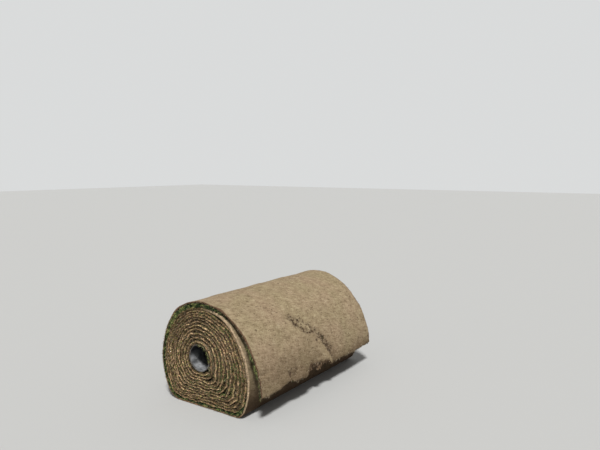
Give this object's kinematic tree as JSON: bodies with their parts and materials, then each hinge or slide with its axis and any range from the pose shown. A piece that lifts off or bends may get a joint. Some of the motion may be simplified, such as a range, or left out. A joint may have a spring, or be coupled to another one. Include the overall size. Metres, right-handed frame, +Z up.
{
  "type": "roll of turf",
  "caption": "Strip of turf wound grass side in round a plastic core pipe, sagged flat where it lies, its loose last turn hanging down one side as a torn skirt.",
  "frame": {"origin": "on the ground, below the middle of the roll with its skirt", "axes": "+X along the roll, away from the end that the picture shows; +Z up; -Y towards the side where the loose end hangs"},
  "size_m": [1.2, 0.763, 0.614],
  "materials": {
    "turf": "matte",
    "pipe": "matte"
  },
  "bodies": {
    "root": {"turf_roll": "turf", "core_pipe": "pipe"}
  },
  "joints": []
}
